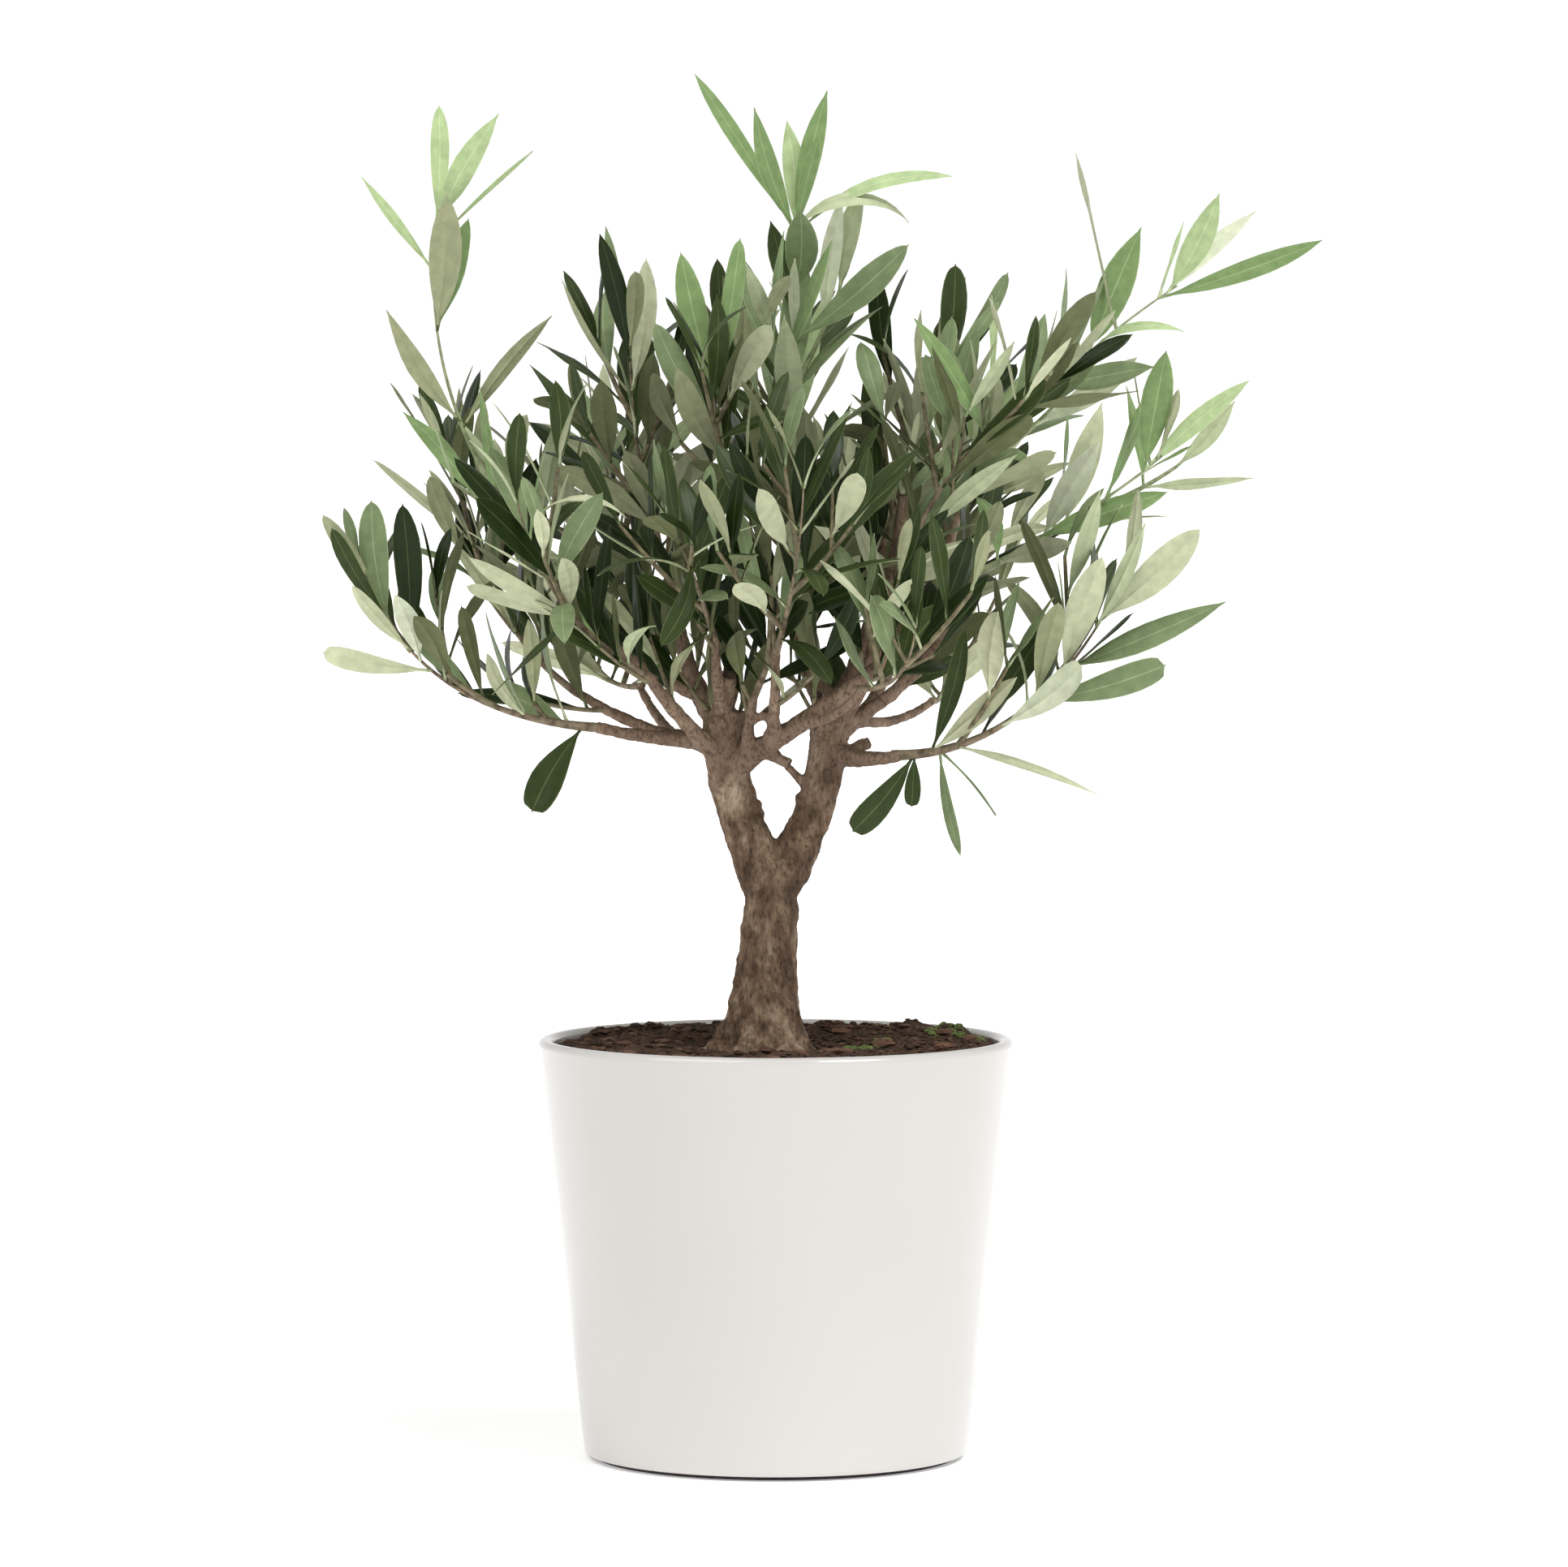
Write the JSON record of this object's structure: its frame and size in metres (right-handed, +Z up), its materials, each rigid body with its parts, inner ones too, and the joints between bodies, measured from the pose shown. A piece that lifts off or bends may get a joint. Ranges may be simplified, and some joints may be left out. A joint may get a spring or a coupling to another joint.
{
  "type": "potted olive tree",
  "caption": "Young olive tree in a round tapered glazed pot: a short trunk forks into two stems that carry a wide airy crown of narrow grey-green leaves.",
  "frame": {"origin": "centre of the pot's flat underside", "axes": "+Z up along the pot's axis, -Y towards the front of the crown, +X to the right as seen from the front"},
  "size_m": [0.3719, 0.2826, 0.512],
  "materials": {
    "glaze": "glossy off-white glaze",
    "soil": "crumbly damp potting compost",
    "bark": "rough grey-brown bark",
    "leaves": "satin grey-green above, silvery below"
  },
  "bodies": {
    "root": {"pot": "glaze", "soil": "soil", "trunk": "bark", "left_stem": "bark", "right_stem": "bark", "cross_bough": "bark", "left_low_bough": "bark", "left_back_bough": "bark", "left_front_bough": "bark", "left_tuft_bough": "bark", "left_outer_bough": "bark", "front_left_bough": "bark", "back_left_bough": "bark", "back_low_left_bough": "bark", "front_bough": "bark", "inner_front_bough": "bark", "front_low_bough": "bark", "centre_bough": "bark", "inner_left_bough": "bark", "pruned_bough": "bark", "centre_right_bough": "bark", "right_upper_bough": "bark", "right_mid_bough": "bark", "right_low_bough": "bark", "back_right_bough": "bark", "back_low_right_bough": "bark", "back_centre_bough": "bark", "dry_twig": "bark", "upper_left_sprig": "leaves", "crown_top_foliage": "leaves", "upper_right_foliage": "leaves", "right_mid_foliage": "leaves", "right_low_foliage": "leaves", "left_low_foliage": "leaves", "left_front_foliage": "leaves", "left_back_foliage": "leaves", "left_tuft_foliage": "leaves", "inner_left_foliage": "leaves", "front_left_foliage": "leaves", "front_foliage": "leaves", "inner_front_foliage": "leaves", "front_low_foliage": "leaves", "cross_foliage": "leaves", "pruned_shoot_foliage": "leaves", "centre_right_foliage": "leaves", "back_left_foliage": "leaves", "back_low_left_foliage": "leaves", "back_right_foliage": "leaves", "back_low_right_foliage": "leaves", "back_centre_foliage": "leaves"}
  },
  "joints": []
}
